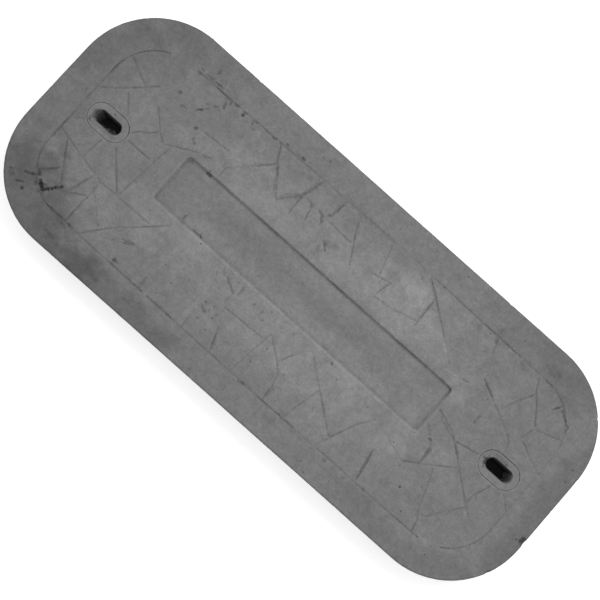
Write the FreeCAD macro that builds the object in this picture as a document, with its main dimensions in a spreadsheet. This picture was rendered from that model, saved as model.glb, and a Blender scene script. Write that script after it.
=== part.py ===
import FreeCAD, Part
import math
import os
import Sketcher

# Cable pit cover: a cast concrete slab with an irregular paving pattern in its top face, a sunk
# name panel in the middle and two moulded sockets, cast in near the ends, that take a lifting key.
# Millimetres, +X along the cover, +Z up. The underside lies at Z 0 with its centre on the origin.

doc = FreeCAD.newDocument("cable_pit_cover")


# Driving sizes

SIZES = [
    # The slab
    ("slab_length", 666.5),
    ("slab_width", 274.8),
    ("slab_thickness", 45.0),
    ("slab_corner_radius", 92.0),
    ("side_draft", 2.5),
    ("top_bevel", 2.0),
    ("bottom_bevel", 3.0),
    # The fine line round the paved field
    ("field_end_margin", 35.2),
    ("field_side_margin", 33.2),
    ("field_corner_radius", 55.0),
    ("border_line_width", 2.8),
    ("border_line_depth", 1.3),
    # The paving joints
    ("joint_width", 3.2),
    ("joint_depth", 1.2),
    ("joint_fade", 6.0),
    # The sunk name panel
    ("panel_end_gap", 87.8),
    ("panel_width", 54.0),
    ("panel_depth", 3.2),
    ("panel_corner_radius", 1.5),
    ("panel_bevel_width", 3.8),
    ("panel_bevel_depth", 2.6),
    ("panel_offset_x", -2.4),
    ("panel_offset_y", 3.3),
    # The lifting sockets
    ("socket_inset", 68.25),
    ("socket_line_offset", 1.0),
    ("slot_length", 31.0),
    ("slot_width", 13.0),
    ("slot_mouth_bevel", 1.2),
    ("socket_wall", 3.0),
    ("socket_rim_margin", 8.2),
    ("socket_rim_thickness", 5.0),
    ("socket_flange_thickness", 4.0),
    ("socket_gap_bevel", 0.7),
]

sheet = doc.addObject("Spreadsheet::Sheet", "Sizes")
for row, (alias, number) in enumerate(SIZES, start=1):
    sheet.set(f"A{row}", alias)
    sheet.set(f"B{row}", str(number))
    sheet.setAlias(f"B{row}", alias)
doc.recompute()


def size(alias):
    return float(sheet.get(alias))


# Sizes that follow from the driving ones, written as the expressions that bind the features

FIELD_LENGTH = "Sizes.slab_length - 2 * Sizes.field_end_margin"
FIELD_WIDTH = "Sizes.slab_width - 2 * Sizes.field_side_margin"
SOCKET_X = "Sizes.slab_length / 2 - Sizes.socket_inset"
PANEL_LENGTH = f"2 * ({SOCKET_X} - Sizes.panel_end_gap)"
SLEEVE_LENGTH = "Sizes.slot_length + 2 * Sizes.socket_wall"
SLEEVE_WIDTH = "Sizes.slot_width + 2 * Sizes.socket_wall"
RIM_LENGTH = "Sizes.slot_length + 2 * Sizes.socket_rim_margin"
RIM_WIDTH = "Sizes.slot_width + 2 * Sizes.socket_rim_margin"

top = size("slab_thickness")
half_length = size("slab_length") / 2
field_half_length = half_length - size("field_end_margin")
field_half_width = size("slab_width") / 2 - size("field_side_margin")


# Profiles: each sketch is symmetrical about its own origin, and its attachment offset places it

def place(x="0", y="0", z="0"):
    return {"x": x, "y": y, "z": z}


def closed_round_profile(body, name, where, centres, radius, quarter_turns):
    """Straight sides joined by equal arcs about the centres, each tangent to the next."""
    sketch = body.newObject("Sketcher::SketchObject", name)
    plane = [item for item in body.Origin.OriginFeatures if item.Role == "XY_Plane"][0]
    sketch.AttachmentSupport = [(plane, "")]
    sketch.MapMode = "FlatFace"
    for axis, expression in where.items():
        sketch.setExpression(f"AttachmentOffset.Base.{axis}", expression)
    step = quarter_turns * math.pi / 2
    for number, centre in enumerate(centres):
        following = centres[(number + 1) % len(centres)]
        angle = number * step - math.pi / 2
        outwards = FreeCAD.Vector(math.cos(angle), math.sin(angle), 0) * radius
        sketch.addGeometry(Part.LineSegment(centre + outwards, following + outwards), False)
        circle = Part.Circle(following, FreeCAD.Vector(0, 0, 1), radius)
        sketch.addGeometry(Part.ArcOfCircle(circle, angle, angle + step), False)
    edges = 2 * len(centres)
    for edge in range(edges):
        sketch.addConstraint(Sketcher.Constraint("Tangent", edge, 2, (edge + 1) % edges, 1))
    for arc in range(3, edges, 2):
        sketch.addConstraint(Sketcher.Constraint("Equal", 1, arc))
    return sketch


def set_dimension(sketch, constraint, expression):
    number = sketch.addConstraint(constraint)
    sketch.setExpression(f"Constraints[{number}]", expression)


def rounded_rectangle(body, name, where, length, width, radius):
    corners = [(-50, -30), (50, -30), (50, 30), (-50, 30)]
    centres = [FreeCAD.Vector(x, y, 0) for x, y in corners]
    sketch = closed_round_profile(body, name, where, centres, 10.0, 1)
    for line, direction in enumerate(("Horizontal", "Vertical", "Horizontal", "Vertical")):
        sketch.addConstraint(Sketcher.Constraint(direction, 2 * line))
    sketch.addConstraint(Sketcher.Constraint("Symmetric", 1, 3, 5, 3, -1, 1))
    set_dimension(sketch, Sketcher.Constraint("DistanceX", 6, 1, 2, 1, 120.0), length)
    set_dimension(sketch, Sketcher.Constraint("DistanceY", 0, 1, 4, 1, 80.0), width)
    set_dimension(sketch, Sketcher.Constraint("Radius", 1, 10.0), radius)
    return sketch


def obround(body, name, where, length, width):
    centres = [FreeCAD.Vector(-10, 0, 0), FreeCAD.Vector(10, 0, 0)]
    sketch = closed_round_profile(body, name, where, centres, 8.0, 2)
    sketch.addConstraint(Sketcher.Constraint("Horizontal", 0))
    sketch.addConstraint(Sketcher.Constraint("Symmetric", 1, 3, 3, 3, -1, 1))
    set_dimension(sketch, Sketcher.Constraint("DistanceX", 3, 3, 1, 3, 20.0), f"({length}) - ({width})")
    set_dimension(sketch, Sketcher.Constraint("Radius", 1, 8.0), f"({width}) / 2")
    return sketch


# Features

def pad(body, name, sketch, length):
    feature = body.newObject("PartDesign::Pad", name)
    feature.Profile = sketch
    feature.setExpression("Length", length)
    doc.recompute()
    return feature


def pocket(body, name, sketch, length=None):
    """Cuts down from the sketch, by a length or right through, and checks that material has gone."""
    before = body.Shape.Volume
    feature = body.newObject("PartDesign::Pocket", name)
    feature.Profile = sketch
    if length is None:
        feature.Type = "ThroughAll"
    else:
        feature.setExpression("Length", length)
    doc.recompute()
    if not body.Shape.Volume < before - 1.0:
        raise RuntimeError(f"{name} cuts nothing")
    return feature


def level_edges(shape, height, inside):
    """Names of the edges that lie flat at one height, where inside(x, y) holds for each end."""
    names = []
    for number, edge in enumerate(shape.Edges, start=1):
        flat = all(abs(vertex.Z - height) < 1e-4 for vertex in edge.Vertexes)
        if flat and all(inside(vertex.X, vertex.Y) for vertex in edge.Vertexes):
            names.append(f"Edge{number}")
    return names


def bevel(body, name, edges, width, depth=None):
    """Bevels some edges of the body, by one size or by a width and a depth."""
    base = body.Tip
    feature = body.newObject("PartDesign::Chamfer", name)
    feature.Base = (base, edges)
    feature.setExpression("Size", width)
    if depth is not None:
        feature.ChamferType = "Two distances"
        feature.setExpression("Size2", depth)
    body.Tip = feature
    doc.recompute()


# The slab before its pattern: its sides draw in downwards, so that it seats in the pit's rim and
# lifts out of it without jamming

def anywhere(x, y):
    return True


blank = doc.addObject("PartDesign::Body", "slab_blank")
outline = rounded_rectangle(blank, "slab_outline", place(), "Sizes.slab_length", "Sizes.slab_width",
                            "Sizes.slab_corner_radius")
block = pad(blank, "slab_block", outline, "Sizes.slab_thickness")

side_faces = []
for number, face in enumerate(block.Shape.Faces, start=1):
    upwards = face.normalAt(0, 0).z
    if upwards > 0.5:
        top_face = f"Face{number}"
        sharp_outline = face.OuterWire
    elif upwards > -0.5:
        side_faces.append(f"Face{number}")
walls = blank.newObject("PartDesign::Draft", "drafted_walls")
walls.Base = (block, side_faces)
walls.NeutralPlane = (block, [top_face])
walls.Reversed = True
walls.setExpression("Angle", "Sizes.side_draft")
blank.Tip = walls
doc.recompute()
bevel(blank, "top_arris", level_edges(blank.Shape, top, anywhere), "Sizes.top_bevel")
bevel(blank, "bottom_arris", level_edges(blank.Shape, 0.0, anywhere), "Sizes.bottom_bevel")


# The name panel: a flat floor sunk below the face, with a wide bevel all round

panel_x = size("panel_offset_x")
panel_y = size("panel_offset_y")
panel_half_length = half_length - size("socket_inset") - size("panel_end_gap")
panel_half_width = size("panel_width") / 2


def in_panel(x, y):
    slack = 0.01
    along = abs(x - panel_x) < panel_half_length + slack
    return along and abs(y - panel_y) < panel_half_width + slack


where = place("Sizes.panel_offset_x", "Sizes.panel_offset_y", "Sizes.slab_thickness")
panel_floor = rounded_rectangle(blank, "panel_floor", where, PANEL_LENGTH, "Sizes.panel_width",
                                "Sizes.panel_corner_radius")
pocket(blank, "name_panel", panel_floor, "Sizes.panel_depth")
bevel(blank, "panel_bevel", level_edges(blank.Shape, top, in_panel), "Sizes.panel_bevel_width",
      "Sizes.panel_bevel_depth")


# The seats of the sockets: a hole for the sleeve, a recess above it for the rim and one below for
# the flange, and the same again at the other end

seats = []
for name, height, length, width, depth in (
    ("sleeve_hole", "Sizes.slab_thickness", SLEEVE_LENGTH, SLEEVE_WIDTH, None),
    ("rim_recess", "Sizes.slab_thickness", RIM_LENGTH, RIM_WIDTH, "Sizes.socket_rim_thickness"),
    ("flange_recess", "Sizes.socket_flange_thickness", RIM_LENGTH, RIM_WIDTH,
     "Sizes.socket_flange_thickness"),
):
    where = place(SOCKET_X, "Sizes.socket_line_offset", height)
    profile = obround(blank, f"{name}_outline", where, length, width)
    seats.append(pocket(blank, name, profile, depth))
other_end = blank.newObject("PartDesign::Mirrored", "seats_other_end")
other_end.Originals = seats
across = [item for item in blank.Origin.OriginFeatures if item.Role == "YZ_Plane"][0]
other_end.MirrorPlane = (across, [""])
blank.Tip = other_end
doc.recompute()

socket_x = half_length - size("socket_inset")
socket_y = size("socket_line_offset")
rim_half_length = size("slot_length") / 2 + size("socket_rim_margin")


def at_rim(x, y):
    slack = 0.01
    return abs(abs(x) - socket_x) < rim_half_length + slack and abs(y - socket_y) < rim_half_length


bevel(blank, "seat_arris", level_edges(blank.Shape, top, at_rim), "Sizes.socket_gap_bevel")


# The lifting sockets: a sleeve the full depth of the slab, held in the concrete by its rim and its
# flange, with a straight slot through it for the key

def lifting_socket(name, side):
    body = doc.addObject("PartDesign::Body", name)

    def profile(part, height, length, width):
        where = place(f"{side} * ({SOCKET_X})", "Sizes.socket_line_offset", height)
        return obround(body, f"{name}_{part}_outline", where, length, width)

    rim_foot = "Sizes.slab_thickness - Sizes.socket_rim_thickness"
    pad(body, f"{name}_sleeve", profile("sleeve", "0", SLEEVE_LENGTH, SLEEVE_WIDTH), "Sizes.slab_thickness")
    pad(body, f"{name}_rim", profile("rim", rim_foot, RIM_LENGTH, RIM_WIDTH), "Sizes.socket_rim_thickness")
    pad(body, f"{name}_flange", profile("flange", "0", RIM_LENGTH, RIM_WIDTH),
        "Sizes.socket_flange_thickness")
    pocket(body, f"{name}_slot",
           profile("slot", "Sizes.slab_thickness", "Sizes.slot_length", "Sizes.slot_width"))
    between = (size("slot_width") + size("socket_rim_margin")) / 2

    def at_mouth(x, y):
        return abs(y - socket_y) < between

    def at_edge(x, y):
        return abs(y - socket_y) > between

    bevel(body, f"{name}_mouth", level_edges(body.Shape, top, at_mouth), "Sizes.slot_mouth_bevel")
    bevel(body, f"{name}_edge", level_edges(body.Shape, top, at_edge), "Sizes.socket_gap_bevel")
    return body


sockets = [lifting_socket("lifting_socket_left", -1), lifting_socket("lifting_socket_right", 1)]


# The paving joints, as the mould's ribs leave them: a V-shaped groove along each of these lines.
# Points are millimetres from the centre of a field of this length and width, and the whole
# pattern stretches with the field. A line that runs past the field's edge is cut off there.

PATTERN_LENGTH = 596.0
PATTERN_WIDTH = 208.0

JOINTS = [
    # Left end, above the slot
    [(-299, 72), (-263, 54)],
    [(-301, 19), (-291, 26), (-279, 36), (-251, 64)],
    [(-270, 37), (-256, 21)],
    [(-245, 1), (-205, 1)],
    [(-241, 8), (-235, 16), (-228, 20), (-220, 29)],
    [(-238, 47), (-220, 29), (-209, 22)],
    [(-209, 22), (-200, 27), (-178, 39)],
    [(-201, 26), (-204, 1), (-208, -48)],
    # Above the panel
    [(-185, 59), (-155, 61)],
    [(-122, 107), (-112, 87), (-100, 73), (-87, 56)],
    [(-110, 84), (-146, 46), (-145, 34)],
    [(-62, 107), (-66, 85), (-71, 74), (-87, 56)],
    [(-69, 76), (-68, 55)],
    [(-69, 77), (-44, 76), (-37, 69), (-14, 50)],
    [(-55, 77), (-50, 56)],
    [(-30, 107), (-34, 76)],
    [(-44, 76), (3, 74)],
    [(-13, 107), (-3, 84), (14, 56)],
    [(31, 107), (37, 89), (43, 69)],
    [(11, 60), (34, 65), (57, 70)],
    [(57, 71), (53, 51)],
    [(52, 49), (74, 51), (103, 59)],
    [(78, 107), (102, 90), (157, 48)],
    [(102, 90), (104, 55)],
    [(154, 107), (152, 81), (148, 56)],
    [(175, 107), (182, 87), (193, 61)],
    # Right end, above the slot
    [(231, 107), (241, 87), (252, 75), (265, 57)],
    [(243, 84), (233, 66), (226, 49)],
    [(210, 107), (221, 69), (225, 50)],
    [(193, 61), (248, 34), (254, 29), (257, 21)],
    [(265, 57), (261, 42)],
    [(265, 56), (282, 62), (300, 68)],
    [(277, 101), (266, 84)],
    [(266, 39), (279, 32), (301, 23)],
    # Right end, below the slot
    [(172, -5), (192, -21), (196, -26), (200, -47)],
    [(177, 8), (190, 4), (205, -2), (233, -24)],
    [(213, -6), (241, 0)],
    [(233, -24), (263, -48), (273, -55)],
    [(233, -24), (200, -47)],
    [(213, -41), (230, -84), (235, -91), (239, -107)],
    [(264, -49), (249, -69), (239, -83), (231, -86)],
    [(269, -16), (262, -35), (261, -46)],
    [(285, -14), (301, -28)],
    [(154, -48), (184, -57), (200, -47)],
    [(155, -68), (159, -83), (163, -107)],
    # Below the panel
    [(137, -43), (126, -60), (106, -107)],
    [(43, -34), (101, -79), (113, -88)],
    [(75, -59), (71, -75), (64, -107)],
    [(24, -66), (32, -49), (43, -34)],
    [(18, -34), (29, -50)],
    [(1, -49), (24, -66), (33, -75), (36, -87), (38, -107)],
    [(1, -49), (-3, -78), (-6, -107)],
    [(-53, -60), (0, -58)],
    [(-53, -60), (-41, -85), (-33, -107)],
    [(-82, -38), (-77, -49), (-76, -71), (-71, -107)],
    [(-122, -45), (-124, -63), (-131, -107)],
    [(-172, -80), (-160, -73), (-130, -91)],
    # Left end, below the slot
    [(-215, -107), (-194, -80), (-149, -36)],
    [(-301, -33), (-262, -42), (-230, -49), (-165, -48)],
    [(-285, -11), (-292, -17), (-301, -21)],
    [(-258, -15), (-261, -41)],
    [(-242, -13), (-209, -48)],
    [(-239, -47), (-245, -67), (-250, -80)],
    [(-230, -49), (-230, -107)],
    [(-257, -84), (-230, -68)],
    [(-229, -60), (-202, -84)],
    [(-286, -36), (-259, -76)],
    [(-269, -64), (-285, -81)],
]

# Joints that have worn down until they only just show

WORN_JOINTS = [
    [(-251, 65), (-263, 85)],
    [(-161, 107), (-153, 65)],
    [(193, 61), (187, 39)],
    [(76, 51), (81, 41)],
    [(155, 40), (170, 42), (182, 48)],
    [(215, 50), (214, 38), (214, -4)],
    [(179, -89), (187, -84), (188, -107)],
    [(85, -43), (85, -65)],
    [(-21, -41), (-16, -58)],
    [(-71, -37), (-57, -44), (-50, -35)],
    [(-261, -56), (-261, -66)],
]
WORN_WIDTH = 0.7
WORN_DEPTH = 0.5

clearance_above = 1.0


def on_cover(x, y):
    """A place in the pattern, moved with the field's real length and width."""
    return FreeCAD.Vector(x * 2 * field_half_length / PATTERN_LENGTH,
                          y * 2 * field_half_width / PATTERN_WIDTH, 0)


def distance_to_run(point, start, end):
    run = end - start
    share = max(0.0, min(1.0, (point - start).dot(run) / run.dot(run)))
    return (point - start - run * share).Length


def solid_from(polygons):
    faces = [Part.Face(Part.makePolygon(corners + corners[:1])) for corners in polygons]
    solid = Part.Solid(Part.Shell(faces))
    if solid.Volume < 0:
        solid.reverse()
    return solid


def v_groove(route, width, depth, fades, fade_length):
    """The tool for a V-shaped groove along a route, mitred where it turns. An end that fades
    rises to a point, and the other ends are square."""
    half_width = width / 2 * (1 + clearance_above / depth)
    upper = FreeCAD.Vector(0, 0, top + clearance_above)
    lower = FreeCAD.Vector(0, 0, top - depth)
    runs = [(end - start).normalize() for start, end in zip(route, route[1:])]
    left, right, keel = [], [], []
    for number, point in enumerate(route):
        before = runs[max(number - 1, 0)]
        after = runs[min(number, len(runs) - 1)]
        square = FreeCAD.Vector(-before.y - after.y, before.x + after.x, 0).normalize()
        mitre = half_width / square.dot(FreeCAD.Vector(-after.y, after.x, 0))
        left.append(point + square * mitre + upper)
        right.append(point - square * mitre + upper)
        keel.append(point + lower)
    tip_before = [route[0] - runs[0] * fade_length + upper] if fades[0] else []
    tip_after = [route[-1] + runs[-1] * fade_length + upper] if fades[1] else []
    polygons = [left + tip_after + right[::-1] + tip_before]
    for number in range(len(runs)):
        following = number + 1
        polygons.append([left[number], left[following], keel[following], keel[number]])
        polygons.append([right[number], keel[number], keel[following], right[following]])
    for end, tip in ((0, tip_before), (-1, tip_after)):
        if tip:
            polygons.append([left[end], keel[end], tip[0]])
            polygons.append([right[end], keel[end], tip[0]])
        else:
            polygons.append([left[end], keel[end], right[end]])
    return solid_from(polygons)


def joint_tools():
    width, depth, fade_length = size("joint_width"), size("joint_depth"), size("joint_fade")
    strong = [[on_cover(x, y) for x, y in line] for line in JOINTS]
    worn = [[on_cover(x, y) for x, y in line] for line in WORN_JOINTS]
    every = strong + worn

    def stops_in_the_open(point, own):
        others = [line for line in every if line is not own]
        runs = [run for line in others for run in zip(line, line[1:])]
        return all(distance_to_run(point, start, end) > width for start, end in runs)

    tools = []
    for line in every:
        fades = [stops_in_the_open(line[0], line), stops_in_the_open(line[-1], line)]
        share_width, share_depth = (1, 1) if line in strong else (WORN_WIDTH, WORN_DEPTH)
        tools.append(v_groove(line, width * share_width, depth * share_depth, fades, fade_length))
    return tools


joint_network = doc.addObject("Part::Feature", "joint_network")
tools = joint_tools()
joint_network.Shape = tools[0].fuse(tools[1:])

field = doc.addObject("PartDesign::Body", "paved_field")
field_outline = rounded_rectangle(field, "field_outline", place(z="Sizes.slab_thickness / 2"), FIELD_LENGTH,
                                  FIELD_WIDTH, "Sizes.field_corner_radius")
pad(field, "field_block", field_outline, "Sizes.slab_thickness")

joints = doc.addObject("Part::Common", "paving_joints")
joints.Base = joint_network
joints.Tool = field


# The border line: the same V groove round the field, in straight runs joined by arcs of one radius.
# Its long sides bow out a little in the middle, as the mould's strip did. It is worn away where the
# top left corner ends and for a short way in the bottom right corner.

BORDER_CENTRES = [
    # The centre of each arc: side of the field along X, side along Y, how far the line bows out there
    (1, 1, -2.0),
    (0.1, 1, 0.8),
    (-1, 1, -2.6),
    (-1, -1, -0.9),
    (0.15, -1, 1.2),
    (1, -1, 0.0),
]
WORN_ARCS = {
    # Corner, and the degrees between which its line is gone
    (-1, 1): (90, 114),
    (1, -1): (282, 300),
}
WORN_RUN_END = (-1, 1)
WORN_RUN = 11.0


def border_tools():
    width, depth = size("border_line_width"), size("border_line_depth")
    radius = size("field_corner_radius")
    half_width = width / 2 * (1 + clearance_above / depth)
    centres = []
    for side_x, side_y, bow in BORDER_CENTRES:
        centre_y = side_y * (field_half_width - radius + bow)
        centres.append(FreeCAD.Vector(side_x * (field_half_length - radius), centre_y, 0))
    followers = centres[1:] + centres[:1]
    runs = [(follower - centre).normalize() for centre, follower in zip(centres, followers)]
    outwards = [FreeCAD.Vector(run.y, -run.x, 0) for run in runs]

    tools = []
    for number, centre in enumerate(centres):
        begins, ends = [math.degrees(math.atan2(normal.y, normal.x)) % 360
                        for normal in (outwards[number - 1], outwards[number])]
        if ends < begins:
            ends += 360
        axis_foot = centre + FreeCAD.Vector(0, 0, top)
        section = [axis_foot + FreeCAD.Vector(radius + across, 0, up) for across, up in (
            (-half_width, clearance_above), (half_width, clearance_above), (0, -depth))]
        worn_from, worn_to = WORN_ARCS.get(BORDER_CENTRES[number][:2], (ends, ends))
        for first, last in ((begins, worn_from), (worn_to, ends)):
            if last > first:
                face = Part.Face(Part.makePolygon(section + section[:1]))
                face.rotate(axis_foot, FreeCAD.Vector(0, 0, 1), first)
                tools.append(face.revolve(axis_foot, FreeCAD.Vector(0, 0, 1), last - first))

        following = (number + 1) % len(centres)
        route = [centre + outwards[number] * radius, centres[following] + outwards[number] * radius]
        worn_end = BORDER_CENTRES[following][:2] == WORN_RUN_END
        if worn_end:
            route[1] = route[1] - runs[number] * WORN_RUN
        tools.append(v_groove(route, width, depth, [False, worn_end], size("joint_fade")))
    return tools


border_line = doc.addObject("Part::Feature", "border_line")
tools = border_tools()
border_line.Shape = tools[0].fuse(tools[1:])

pattern = doc.addObject("Part::Fuse", "pattern")
pattern.Base = joints
pattern.Tool = border_line
patterned_slab = doc.addObject("Part::Cut", "patterned_slab")
patterned_slab.Base = blank
patterned_slab.Tool = pattern
doc.recompute()


# Damage, each piece where it is on the cover: a deep ragged gouge at the lower left corner with
# scrapes beside it, pits of broken-out air holes, and chips out of the top arris

GOUGE_PLACE = (-270.0, -90.0)
GOUGE_HOLES = [
    # Offset from there along X and Y, radius, depth: broken-out lumps that run into each other
    (-5.8, 1.6, 2.3, 3.2),
    (-3.3, -0.1, 2.6, 4.6),
    (-0.6, -2.2, 2.6, 5.6),
    (1.6, -3.9, 2.2, 4.8),
    (3.6, -1.6, 2.2, 3.4),
    (5.8, 0.5, 2.2, 3.0),
    (8.4, 3.2, 2.1, 2.6),
    (10.3, 6.1, 1.8, 2.2),
    (1.0, 0.8, 2.6, 1.8),
    (-8.2, -2.8, 2.6, 0.8),
    (-11.2, 5.4, 1.8, 1.6),
    (-13.0, 7.6, 1.5, 1.1),
]

SCRAPES = [
    # Where it starts, its route from there, width, depth
    ((-293.5, -92), [(0, 0), (5.5, 1.6), (8.7, 3.4)], 2.6, 1.5),
    ((-293.5, -104.2), [(0, 0), (6.0, 3.4)], 2.8, 1.3),
    ((-148, -20), [(0, 0), (6, 6)], 1.8, 1.0),
    ((-71, -69), [(0, 0), (8, -8), (9, -1)], 1.6, 0.8),
]
SCRAPE_FADE = 5.0

PITS = [
    # X, Y, radius
    (-255.6, -79.4, 1.8), (-269.8, -98.0, 1.6), (-284.6, -106.5, 1.7), (-306.5, -98.2, 1.5),
    (200, -78, 1.8), (67, -30, 1.5), (81, -40, 1.5), (40, -43, 1.4), (8, -41, 1.4), (8, -63, 1.4),
    (-15, -45, 1.5), (-32, -38, 1.6), (-22, -40, 1.3), (-54, -77, 1.6), (-70, -69, 1.7),
    (-113, -28, 1.7), (-119, -23, 1.4), (-9, -101, 1.4), (126, -109, 1.4), (175, -27, 1.6),
    (9, 121, 1.3), (13, 121, 1.2), (-167, -99, 2.0), (-169, 98, 2.6), (-156, 98, 1.9),
    (-90, -22, 1.5), (42, -126, 1.4),
]
PIT_DEPTH = 0.9

CHIPS = [
    # Direction from the centre of the cover in degrees, radius, depth from the sharp corner
    (-6.4, 4.8, 3.4), (-14.6, 4.4, 3.0), (7.7, 3.4, 2.6), (-171.0, 3.0, 2.4), (151.0, 3.4, 2.4),
]
RAGGED_CORNERS = 7


def arris_point(angle):
    """Where a line from the centre of the cover meets its outline."""
    ray = FreeCAD.Vector(math.cos(angle), math.sin(angle), 0) * 2 * half_length
    centre = FreeCAD.Vector(0, 0, top)
    line = Part.makeLine(centre, centre + ray)
    return line.distToShape(sharp_outline)[1][0][0]


def broken_hole(centre, axis, radius, depth):
    """The tool for a hole that narrows to half its width at its floor, ragged as concrete breaks."""
    turn = FreeCAD.Rotation(FreeCAD.Vector(0, 0, 1), axis)

    def ring(height):
        reach = radius * (1 + 0.5 * height / depth)
        corners = []
        for number in range(RAGGED_CORNERS):
            angle = 2 * math.pi * number / RAGGED_CORNERS + centre.y
            uneven = reach * (1 + 0.15 * math.sin(3 * number + centre.x))
            offset = FreeCAD.Vector(uneven * math.cos(angle), uneven * math.sin(angle), height)
            corners.append(centre + turn.multVec(offset))
        return corners

    mouth, floor = ring(clearance_above), ring(-depth)
    polygons = [mouth, floor[::-1]]
    for number in range(RAGGED_CORNERS):
        following = (number + 1) % RAGGED_CORNERS
        polygons.append([mouth[number], floor[number], floor[following], mouth[following]])
    return solid_from(polygons)


def damage_tools():
    tools = []
    upwards = FreeCAD.Vector(0, 0, 1)
    for start, line, width, depth in SCRAPES:
        route = [on_cover(*start) + FreeCAD.Vector(x, y, 0) for x, y in line]
        tools.append(v_groove(route, width, depth, [True, True], SCRAPE_FADE))
    for x, y, radius, depth in GOUGE_HOLES:
        mouth = on_cover(*GOUGE_PLACE) + FreeCAD.Vector(x, y, top)
        tools.append(broken_hole(mouth, upwards, radius, depth))
    for x, y, radius in PITS:
        mouth = on_cover(x, y) + upwards * top
        tools.append(broken_hole(mouth, upwards, radius, PIT_DEPTH * radius))
    for degrees, radius, depth in CHIPS:
        angle = math.radians(degrees)
        outwards = FreeCAD.Vector(math.cos(angle), math.sin(angle), 1).normalize()
        tools.append(broken_hole(arris_point(angle), outwards, radius, depth))
    return tools


damage = doc.addObject("Part::Feature", "damage")
tools = damage_tools()
damage.Shape = tools[0].fuse(tools[1:])
cover_slab = doc.addObject("Part::Cut", "cover_slab")
cover_slab.Base = patterned_slab
cover_slab.Tool = damage
doc.recompute()


# Every piece is checked, then written to a file with its own name

pieces = [cover_slab] + sockets
for item in doc.Objects:
    if "Invalid" in item.State or "Error" in item.State:
        raise RuntimeError(f"{item.Label} failed: {item.State}")
for piece in pieces:
    if piece.Shape.isNull() or not piece.Shape.isValid() or len(piece.Shape.Solids) != 1:
        raise RuntimeError(f"{piece.Label} is not one sound solid")
removed = blank.Shape.Volume - cover_slab.Shape.Volume
if not 0 < removed < 0.01 * blank.Shape.Volume:
    raise RuntimeError(f"the pattern and damage take away {removed:.0f} cubic millimetres")

os.makedirs("parts", exist_ok=True)
for piece in pieces:
    piece.Shape.exportStep(f"parts/{piece.Label}.step")
    box = piece.Shape.optimalBoundingBox()
    print(f"{piece.Label}: {box.XLength:.2f} x {box.YLength:.2f} x {box.ZLength:.2f} mm, "
          f"{piece.Shape.Volume / 1000:.1f} cm3")
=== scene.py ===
# %% [markdown]
# # A cable pit cover in worn concrete
#
# The cover is a concrete slab, cast face down in a mould and then walked on for years. Its outline,
# its paving joints, its sunk panel and its two lifting sockets are solids that come with the frame.
# This lesson gives them what time and casting gave the real one: rounded arrises, a slightly uneven
# skin, air holes, grit, dirt in every low place, and stains.
#
# The frame is loaded first. It is in metres, with the underside at Z 0, and nothing in it is moved.

# %% Load the frame
import math

import bpy
import numpy as np
from mathutils import Matrix, Vector, noise
from mathutils.kdtree import KDTree


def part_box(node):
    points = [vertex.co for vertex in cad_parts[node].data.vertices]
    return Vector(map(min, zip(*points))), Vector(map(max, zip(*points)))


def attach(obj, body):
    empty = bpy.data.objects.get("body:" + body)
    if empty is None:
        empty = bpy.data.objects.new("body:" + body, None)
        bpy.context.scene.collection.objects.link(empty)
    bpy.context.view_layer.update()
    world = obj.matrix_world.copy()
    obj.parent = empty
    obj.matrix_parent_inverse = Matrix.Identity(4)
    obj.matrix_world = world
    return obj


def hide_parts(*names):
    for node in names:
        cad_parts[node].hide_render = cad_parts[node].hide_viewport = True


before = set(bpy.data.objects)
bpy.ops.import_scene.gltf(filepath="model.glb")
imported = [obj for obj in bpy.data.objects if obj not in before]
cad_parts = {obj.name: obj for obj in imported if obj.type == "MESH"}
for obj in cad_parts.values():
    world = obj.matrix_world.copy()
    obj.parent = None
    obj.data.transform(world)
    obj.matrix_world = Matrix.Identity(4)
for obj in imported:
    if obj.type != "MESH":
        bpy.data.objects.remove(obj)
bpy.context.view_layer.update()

MM = 0.001
slab_low, slab_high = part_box("cover_slab")
top = slab_high.z
print("slab size in millimetres:", [round(side / MM, 1) for side in slab_high - slab_low])

# %% [markdown]
# ## Working as by hand
#
# Operators act on whatever is selected, and the frame's pieces come in selected. So every step
# starts by clearing the selection and making one piece active. A modifier is applied at once, so
# that the next step works on its result.

# %% Helpers for selecting and for modifiers
def select_only(piece):
    for other in bpy.context.selected_objects:
        other.select_set(False)
    piece.select_set(True)
    bpy.context.view_layer.objects.active = piece


def apply_modifier(piece, kind, **settings):
    select_only(piece)
    modifier = piece.modifiers.new(kind.lower(), kind)
    for name, value in settings.items():
        setattr(modifier, name, value)
    bpy.ops.object.modifier_apply(modifier=modifier.name)


def points_of(mesh):
    flat = np.zeros(len(mesh.vertices) * 3, np.float32)
    mesh.vertices.foreach_get("co", flat)
    return flat.reshape(-1, 3)


def normals_of(mesh):
    flat = np.zeros(len(mesh.vertices) * 3, np.float32)
    mesh.vertex_normals.foreach_get("vector", flat)
    return flat.reshape(-1, 3)


# %% [markdown]
# ## The slab, as the mould left it
#
# The frame's slab has knife-sharp corners and flat faces, as drawn. Cast concrete has neither: the
# paste doesn't fill a sharp corner, and the first year of traffic takes off what it did fill. A
# bevel can't follow eighty grooves that cross each other, so a copy of the slab is remeshed in
# voxels smaller than a groove is wide, and smoothed a little. Every corner, inside and out, comes
# out rounded by about a millimetre, and the even mesh can carry the small forms that follow.

# %% Copy the slab and round it
VOXEL = 0.8 * MM
SMOOTHINGS = 3

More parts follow.
